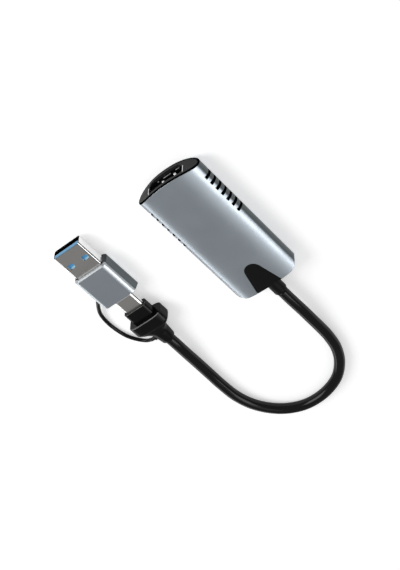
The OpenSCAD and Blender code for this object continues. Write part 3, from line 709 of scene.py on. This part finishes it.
def setInputs(node, values):
    for label, value in values.items():
        node.inputs[label].default_value = value
    return node


def spread(tree, source, low, high, toLow=0.0, toHigh=1.0):
    # a clamped map range, with its four limits on the sockets
    node = addNode(tree, "ShaderNodeMapRange")
    setInputs(node, {"From Min": low, "From Max": high, "To Min": toLow, "To Max": toHigh})
    tree.links.new(source, node.inputs["Value"])
    return node.outputs["Result"]


def grainGroup():
    # fine grain for bump, and a slower drift of tone
    inputs = {"Fine": 4000.0, "Drift": 200.0, "Stretch": (1, 1, 1)}
    tree, start, end = newGroup("fineGrain", inputs, ("Height", "Tone"))
    place = addNode(tree, "ShaderNodeTexCoord")
    pull = addNode(tree, "ShaderNodeVectorMath", operation="MULTIPLY")
    tree.links.new(place.outputs["Object"], pull.inputs[0])
    tree.links.new(start.outputs["Stretch"], pull.inputs[1])
    for label, target in (("Fine", "Height"), ("Drift", "Tone")):
        noise = setInputs(addNode(tree, "ShaderNodeTexNoise"), {"Detail": 3})
        tree.links.new(pull.outputs["Vector"], noise.inputs["Vector"])
        tree.links.new(start.outputs[label], noise.inputs["Scale"])
        tree.links.new(spread(tree, noise.outputs["Fac"], 0.3, 0.7), end.inputs[target])
    return tree


def touchGroup():
    # faint handling marks that only change the gloss
    tree, start, end = newGroup("touchMarks", {"Size": 90.0}, ("Mask",))
    place = addNode(tree, "ShaderNodeTexCoord")
    noise = setInputs(addNode(tree, "ShaderNodeTexNoise"), {"Detail": 5, "Distortion": 0.6})
    tree.links.new(place.outputs["Object"], noise.inputs["Vector"])
    tree.links.new(start.outputs["Size"], noise.inputs["Scale"])
    tree.links.new(spread(tree, noise.outputs["Fac"], 0.42, 0.68), end.inputs["Mask"])
    return tree


def paintedSideLightGroup():
    # 1 on faces that look along x, 0 on the others, to place painted light and shade
    tree, start, end = newGroup("paintedSideLight", {"Low": 0.3, "High": 0.7}, ("Mask",))
    place = addNode(tree, "ShaderNodeTexCoord")
    parts = addNode(tree, "ShaderNodeSeparateXYZ")
    tree.links.new(place.outputs["Normal"], parts.inputs["Vector"])
    size = addNode(tree, "ShaderNodeMath", operation="ABSOLUTE")
    tree.links.new(parts.outputs["X"], size.inputs[0])
    reach = addNode(tree, "ShaderNodeMapRange", interpolation_type="SMOOTHSTEP")
    tree.links.new(size.outputs["Value"], reach.inputs["Value"])
    tree.links.new(start.outputs["Low"], reach.inputs["From Min"])
    tree.links.new(start.outputs["High"], reach.inputs["From Max"])
    tree.links.new(reach.outputs["Result"], end.inputs["Mask"])
    return tree


groups = {"grain": grainGroup(), "touch": touchGroup(), "side": paintedSideLightGroup()}


def placeGroup(tree, key, **values):
    return setInputs(addNode(tree, "ShaderNodeGroup", node_tree=groups[key]), values)


def mixTones(tree, mask, first, second):
    # two colours by a mask; either colour may be a value or a socket
    node = addNode(tree, "ShaderNodeMix", data_type="RGBA")
    tree.links.new(mask, node.inputs["Factor"])
    sockets = [s for s in node.inputs if s.type == "RGBA"]
    for target, colour in zip(sockets, (first, second)):
        if isinstance(colour, tuple):
            target.default_value = colour
        else:
            tree.links.new(colour, target)
    return [s for s in node.outputs if s.type == "RGBA"][0]


def makeFinish(name, look):
    material = bpy.data.materials.new(name)
    material.use_nodes = True
    tree = material.node_tree
    shader = tree.nodes["Principled BSDF"]
    grain = placeGroup(tree, "grain", Fine=look["fine"], Drift=look["drift"], Stretch=look["stretch"])
    colour = mixTones(tree, grain.outputs["Tone"], *look["tones"])
    # painted light and shade: bands of colour by how much a face looks along x
    for low, high, tone in look["bands"]:
        side = placeGroup(tree, "side", Low=low, High=high)
        colour = mixTones(tree, side.outputs["Mask"], colour, tone)
    tree.links.new(colour, shader.inputs["Base Color"])
    touch = placeGroup(tree, "touch", Size=look["touch"])
    tree.links.new(spread(tree, touch.outputs["Mask"], 0, 1, *look["rough"]), shader.inputs["Roughness"])
    bump = setInputs(addNode(tree, "ShaderNodeBump"), {"Strength": look["bump"], "Distance": look["deep"] * mm})
    tree.links.new(grain.outputs["Height"], bump.inputs["Height"])
    tree.links.new(bump.outputs["Normal"], shader.inputs["Normal"])
    setInputs(shader, look["set"])
    return material


metal = {"Metallic": 1.0}
alloyGrain, cutGrain, steelGrain = (9000.0, 0.08, 0.01), (6000.0, 0.1, 0.01), (1500.0, 0.02, 0.01)
sheetGrain, blueGrain = (1800.0, 0.04, 0.01), (5200.0, 0.15, 0.015)
steelPull, sheetPull = (6.0, 0.35, 6.0), (5.0, 0.5, 5.0)


def gloss(level):
    return {"Specular IOR Level": level}


def coat(weight, rough):
    return {"Specular IOR Level": 0.0, "Coat Weight": weight, "Coat Roughness": rough}


def surface(first, second, rough, grain, shine, **more):
    # two tones, roughness from and to, the grain's scale, strength and depth, and what is set on the shader
    fine, bump, deep = grain
    return {"tones": (ink(*first), ink(*second)), "rough": rough, "fine": fine, "bump": bump, "deep": deep,
            "set": shine, "drift": 160.0, "stretch": (1, 1, 1), "bands": (), "touch": 110.0, **more}


finishes = {
    # painted shade: the band darkens both sides of the box
    "anodised": surface((164, 172, 179), (168, 176, 183), (0.32, 0.36), alloyGrain, metal, drift=90.0,
                        bands=[(0.66, 0.88, ink(84, 90, 92))]),
    # painted light and a painted highlight on the shoulders, and painted shade on the sides
    "sleeveAlloy": surface((164, 172, 179), (168, 176, 183), (0.32, 0.36), alloyGrain, metal, drift=90.0,
                           bands=[(0.1, 0.45, ink(174, 181, 186)), (0.55, 0.72, ink(214, 220, 223)),
                                  (0.86, 0.96, ink(84, 91, 93))]),
    # a lighter cut metal for the sleeve's front, partly painted light
    "cutEdgeAndPaintedLight": surface((176, 181, 184), (184, 188, 191), (0.5, 0.56), cutGrain, metal),
    # painted shade: a dark copy of the cut metal
    "cutShade": surface((52, 56, 58), (60, 64, 66), (0.45, 0.5), cutGrain, metal),
    "charcoal": surface((30, 30, 31), (34, 34, 35), (0.48, 0.56), (5200.0, 0.25, 0.02), gloss(0.15)),
    # black for the front plate's rim, and painted shade in the vents and inside the wide plug
    "rimBlackAndShade": surface((5, 5, 5), (8, 8, 8), (0.5, 0.58), (5200.0, 0.2, 0.02), gloss(0.0)),
    "glandBlack": surface((6, 6, 6), (9, 9, 9), (0.46, 0.54), (4200.0, 0.25, 0.02), gloss(0.12)),
    "jacketBlack": surface((6, 6, 6), (9, 9, 9), (0.18, 0.24), (3600.0, 0.08, 0.02), coat(0.5, 0.14)),
    "gripBlack": surface((5, 5, 5), (8, 8, 8), (0.22, 0.28), (4600.0, 0.12, 0.02), coat(0.35, 0.22)),
    "gripEdgePaintedHighlight": surface((116, 116, 115), (124, 123, 122), (0.45, 0.55), (4600.0, 0.2, 0.02), gloss(0.3)),
    "moldFrontPaintedLight": surface((142, 141, 139), (150, 149, 147), (0.45, 0.55), (4600.0, 0.2, 0.02), gloss(0.3)),
    # painted shade lines, a painted highlight and painted light on the sides of the wide plug's shell
    "plugSteel": surface((171, 169, 166), (174, 172, 169), (0.28, 0.32), steelGrain, metal, stretch=steelPull,
                         bands=[(0.04, 0.1, ink(64, 63, 62)), (0.3, 0.36, ink(252, 252, 252)),
                                (0.84, 0.9, ink(92, 92, 91)), (0.965, 0.99, ink(244, 244, 244))]),
    # a painted highlight, a painted shade line and painted light on the sides of the small plug's shell
    "tipSteel": surface((171, 169, 166), (174, 172, 169), (0.28, 0.32), steelGrain, metal, stretch=steelPull,
                        bands=[(0.3, 0.4, ink(253, 253, 253)), (0.7, 0.78, ink(88, 88, 88)),
                               (0.92, 0.97, ink(232, 232, 232))]),
    "socketSteel": surface((214, 215, 216), (222, 222, 223), (0.24, 0.3), sheetGrain, metal, stretch=sheetPull),
    "tabTinHighlight": surface((236, 236, 236), (244, 244, 244), (0.4, 0.46), sheetGrain, {"Metallic": 0.3},
                      stretch=sheetPull),
    "hemPaintedLight": surface((150, 150, 151), (158, 158, 159), (0.4, 0.46), sheetGrain, {"Metallic": 0.4},
                       stretch=sheetPull),
    # painted shade: a dark copy of the socket's steel
    "socketPaintedShade": surface((48, 48, 50), (56, 56, 58), (0.34, 0.42), sheetGrain, metal, stretch=sheetPull),
    "blue": surface((82, 168, 226), (90, 176, 232), (0.4, 0.5), blueGrain, gloss(0.4)),
    "lipPaintedLight": surface((118, 172, 210), (126, 178, 214), (0.55, 0.65), blueGrain, gloss(0.15)),
    "dishPaintedLight": surface((172, 206, 225), (180, 212, 229), (0.55, 0.65), blueGrain, gloss(0.15)),
    "darkInsulator": surface((22, 22, 24), (30, 30, 32), (0.5, 0.6), (5200.0, 0.2, 0.015), gloss(0.4)),
    "gold": surface((214, 176, 96), (226, 190, 112), (0.2, 0.32), (3000.0, 0.08, 0.008), metal,
                    stretch=(4.0, 0.5, 4.0)),
    "board": surface((9, 30, 20), (15, 42, 28), (0.32, 0.44), (700.0, 0.3, 0.03), {"Coat Weight": 0.3},
                     drift=900.0, stretch=(1.0, 0.3, 1.0)),
    "chip": surface((30, 30, 32), (40, 40, 43), (0.55, 0.68), (6000.0, 0.35, 0.02), gloss(0.4)),
    "pad": surface((142, 156, 170), (158, 170, 182), (0.6, 0.75), (2400.0, 0.4, 0.03), gloss(0.3)),
    "film": surface((206, 168, 72), (218, 182, 88), (0.25, 0.35), (800.0, 0.15, 0.02), gloss(0.5)),
    "wire": surface((158, 44, 36), (176, 56, 46), (0.4, 0.5), (3200.0, 0.2, 0.015), gloss(0.45)),
    "ferrite": surface((58, 58, 61), (74, 74, 77), (0.6, 0.75), (3000.0, 0.5, 0.03), gloss(0.35)),
    "ceramic": surface((172, 146, 108), (188, 162, 124), (0.35, 0.5), (5000.0, 0.25, 0.015), gloss(0.5)),
}
materials = {name: makeFinish(name, look) for name, look in finishes.items()}
print("finishes made")


# what each made piece rides on, its record slot, its finish and the solids it stands for

dressing = [
    (bodyShell, "box", "anodised_aluminium", "anodised", ["housing_shell"]),
    (frontPlate, "box", "cap_plastic", "charcoal", ["front_cap"]),
    (socketCage, "box", "socket_steel", "socketPaintedShade", ["hdmi_shell"]),
    (glandPiece, "box", "gland_plastic", "glandBlack", ["cable_gland"]),
    (cable, "box", "cable_jacket", "jacketBlack", ["cable"]),
    (plugShell, "box", "plug_steel", "tipSteel", ["usbc_shell"]),
    (overmold, "box", "grip_plastic", "gripBlack", ["usbc_overmold"]),
    (gripPiece, "box", "grip_plastic", "gripBlack", ["tether_boot"]),
    (strap, None, "cable_jacket", "jacketBlack", ["tether"]),
    (sleevePiece, "adapter", "anodised_aluminium", "sleeveAlloy", ["adapter_sleeve"]),
    (widePlugShell, "adapter", "plug_steel", "plugSteel", ["usba_shell"]),
    (blueBlock, "adapter", "blue_plastic", "blue", ["usba_insulator"]),
    (buttonPiece, "adapter", "grip_plastic", "gripBlack", ["tether_anchor"]),
]
nodeFinish = {
    "darkInsulator": ("hdmi_insulator", "usbc_insulator", "socket_tongue"),
    "gold": ("hdmi_contacts", "usbc_contacts", "usba_contacts", "socket_contacts"),
    "board": ("main_board", "plug_board", "adapter_board"),
    "chip": ("capture_chip", "flash_chip", "voltage_regulator", "adapter_chips"),
    "socketSteel": ("crystal", "usbc_latches", "socket_shell"), "wire": ("cable_wires", "plug_wires"),
    "pad": ("thermal_pad",), "ferrite": ("power_inductor",), "ceramic": ("capacitors",),
    "film": ("insulation_film",), "charcoal": ("rear_insert",),
}


def dressPieces():
    for piece, rides, slotName, finish, nodes in dressing:
        piece.data.materials.clear()
        piece.data.materials.append(materials[finish])
        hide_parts(*nodes)
        if rides:
            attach(piece, rides)
    for finish, names in nodeFinish.items():
        for name in names:
            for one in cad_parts[name].material_slots:
                one.material = materials[finish]


def paintFaces(piece, finish, test):
    # a second finish on the faces that pass a test of their middle, in millimetres, and their normal
    piece.data.materials.append(materials[finish])
    for face in piece.data.polygons:
        if test(face.center / mm, face.normal):
            face.material_index = len(piece.data.materials) - 1


def nearRim(at, less):
    # true where the front plate's outline is nearer than a distance
    wide, high = body["wide"] / 2 - less, body["ovalHigh"] / 2 - less
    return (abs(at.x) / wide) ** body["full"] + (abs(at.z - midZ) / high) ** body["full"] > 1


def inVent(at):
    # true on the cut walls of the vents in the two sides
    more = body["ventSlackZ"]
    if abs(at.x) < body["wide"] / 2 - body["ventReach"]:
        return False
    if not -body["ventDrop"] - more < at.z - midZ < body["ventRise"] + more:
        return False
    along = (at.y - frontTip - body["ventFirst"]) / body["ventPitch"]
    nearest = min(max(round(along), 0), body["ventCount"] - 1)
    return abs(along - nearest) * body["ventPitch"] < body["ventWide"] / 2 + body["ventSlackY"]


leanLeast, leanMost = 0.4, 0.95  # how much of a normal points one way


def facesFront(at, way, before):
    # true on the faces that look to the front and lie before a place along y
    return way.y < -leanLeast and at.y < before


dressPieces()
# painted shade: the vents' cut walls are painted black
paintFaces(bodyShell, "rimBlackAndShade", lambda at, way: inVent(at))
lowerWall = midZ - socket["high"] / 2 + socket["sheet"]
# the cage's side walls keep the light steel as painted light; the rest of the cage has painted shade
paintFaces(socketCage, "socketSteel",
           lambda at, way: abs(at.x) > socket["wide"] / 2 - socket["sheet"] - socket["sideSlack"])
# the spring tabs in bright tin, partly painted highlight
paintFaces(socketCage, "tabTinHighlight", lambda at, way: abs(abs(at.x) - socket["tabX"]) < socket["tabReach"]
           and socket["tabStart"] - slack < at.y < socket["tabStart"] + socket["tabLong"]
           and at.z > lowerWall + 2 * slack and abs(at.z - midZ) < socket["tabHigh"])
# painted light lines on the beads inside the mouth
paintFaces(socketCage, "hemPaintedLight", lambda at, way: at.y < socket["hemY"] + socket["hemWide"] + slack
           and lowerWall + slack < at.z < lowerWall + socket["hemTop"] and abs(at.x) < socket["hemReach"])
# the front plate's black rim, wider on its lower half
paintFaces(frontPlate, "rimBlackAndShade", lambda at, way: nearRim(at, frontFace["line" if at.z < midZ else "rim"]))
sleeveFront = sleeve["front"] + sleeve["chamfer"]
# the sleeve's front chamfer and front wall in the lighter cut metal, partly painted light
paintFaces(sleevePiece, "cutEdgeAndPaintedLight", lambda at, way: facesFront(at, way, sleeveFront))
# painted shade on the sleeve's front faces up to about the plug's top
paintFaces(sleevePiece, "cutShade", lambda at, way: facesFront(at, way, sleeveFront)
           and at.z < plug["z"] + sleeve["shadeTop"])
# painted shade: the wide plug's front edge and its inside are painted black
paintFaces(widePlugShell, "rimBlackAndShade", lambda at, way: at.y < widePlug["tip"] + widePlug["lip"] + widePlug["lipShade"]
           or (abs(at.z - plug["z"]) < widePlug["high"] / 2 - widePlug["insideShade"]
               and abs(at.x - plug["x"]) < widePlug["wide"] / 2 - widePlug["insideShade"]))
# painted light on the upper half of the overmould's front face
paintFaces(overmold, "moldFrontPaintedLight", lambda at, way: facesFront(at, way, plug["moldFront"] + plug["moldEdge"])
           and at.z > plug["z"])
# painted highlight along the grip's front top edge
paintFaces(gripPiece, "gripEdgePaintedHighlight", lambda at, way: facesFront(at, way, grip["front"] + grip["edge"])
           and way.y > -leanMost and way.z > grip["rimUp"])
# painted light on the blue lip at the plug's tip
paintFaces(blueBlock, "lipPaintedLight", lambda at, way: at.y < widePlug["tip"] + widePlug["lip"] + slack)
# painted light on the two slopes of each dish that catch the light
paintFaces(blueBlock, "dishPaintedLight", lambda at, way: at.y > widePlug["tip"] + widePlug["nose"]
           and widePlug["dishUp"] < abs(way.z) < leanMost
           and (way.y / way.z < -leanLeast or way.x / way.z > leanLeast))
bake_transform(strap)

print("pieces dressed")


# floor, world and soft studio lamps

stage = {"size": 3000.0, "low": -0.02, "colour": ink(246, 246, 247), "glow": 0.46, "worldGlow": 0.42,
         "rough": 0.9, "gloss": 0.1, "steps": 8, "aim": (20, 20, 4)}
softboxes = {
    "keyBox": {"at": (400, -420, 480), "size": (460, 460), "bright": 4.0},
    # cards that only show in the gloss
    "edgeCard": {"at": (-330, 225, 434), "size": (300, 300), "bright": 3.3, "card": True},
    "topCard": {"at": (-90, 190, 560), "size": (300, 330), "bright": 0.8, "card": True},
    "sideCard": {"at": (706, 402, 150), "size": (700, 230), "bright": 2.3, "card": True},
}


def rayKind(tree):
    # 1 for rays that show the background: camera, glossy and transmission
    path = addNode(tree, "ShaderNodeLightPath")
    total = path.outputs["Is Camera Ray"]
    for label in ("Is Glossy Ray", "Is Transmission Ray"):
        more = addNode(tree, "ShaderNodeMath", operation="MAXIMUM")
        tree.links.new(total, more.inputs[0])
        tree.links.new(path.outputs[label], more.inputs[1])
        total = more.outputs["Value"]
    return total


def makeFloor():
    size, low, steps = stage["size"], stage["low"], stage["steps"]
    row = steps + 1
    points = [(-size / 2 + size * i / steps, -size / 2 + size * j / steps, low) for j in range(row) for i in range(row)]
    faces = [(j * row + i, j * row + i + 1, (j + 1) * row + i + 1, (j + 1) * row + i)
             for j in range(steps) for i in range(steps)]
    floor = makeMesh("floor", (points, faces))
    paper = bpy.data.materials.new("paper")
    paper.use_nodes = True
    tree = paper.node_tree
    shader = setInputs(tree.nodes["Principled BSDF"], {
        "Base Color": stage["colour"], "Roughness": stage["rough"], "Specular IOR Level": stage["gloss"],
        "Emission Color": (1, 1, 1, 1)})
    glow = addNode(tree, "ShaderNodeMath", operation="MULTIPLY")
    tree.links.new(rayKind(tree), glow.inputs[0])
    glow.inputs[1].default_value = stage["glow"]
    tree.links.new(glow.outputs["Value"], shader.inputs["Emission Strength"])
    floor.data.materials.append(paper)


def makeWorld():
    world = bpy.data.worlds.new("studio")
    world.use_nodes = True
    scene.world = world
    tree = world.node_tree
    sky = tree.nodes["Background"]
    sky.inputs["Color"].default_value = (1, 1, 1, 1)
    path = addNode(tree, "ShaderNodeLightPath")
    level = spread(tree, path.outputs["Is Camera Ray"], 0, 1, stage["worldGlow"])
    tree.links.new(level, sky.inputs["Strength"])


def makeSoftbox(name, look):
    data = bpy.data.lights.new(name, "AREA")
    data.shape = "RECTANGLE"
    data.size, data.size_y = look["size"][0] * mm, look["size"][1] * mm
    data.energy = look["bright"] * math.pi * data.size * data.size_y
    lamp = linkObject(name, data)
    place = Vector(look["at"]) * mm
    aim = Vector(stage["aim"]) * mm
    lamp.location = place
    lamp.rotation_mode = "QUATERNION"
    lamp.rotation_quaternion = (aim - place).to_track_quat("-Z", "Y")
    lamp.visible_diffuse = not look.get("card", False)


makeFloor()
makeWorld()
for lampName, lampLook in softboxes.items():
    makeSoftbox(lampName, lampLook)
print("stage lit")
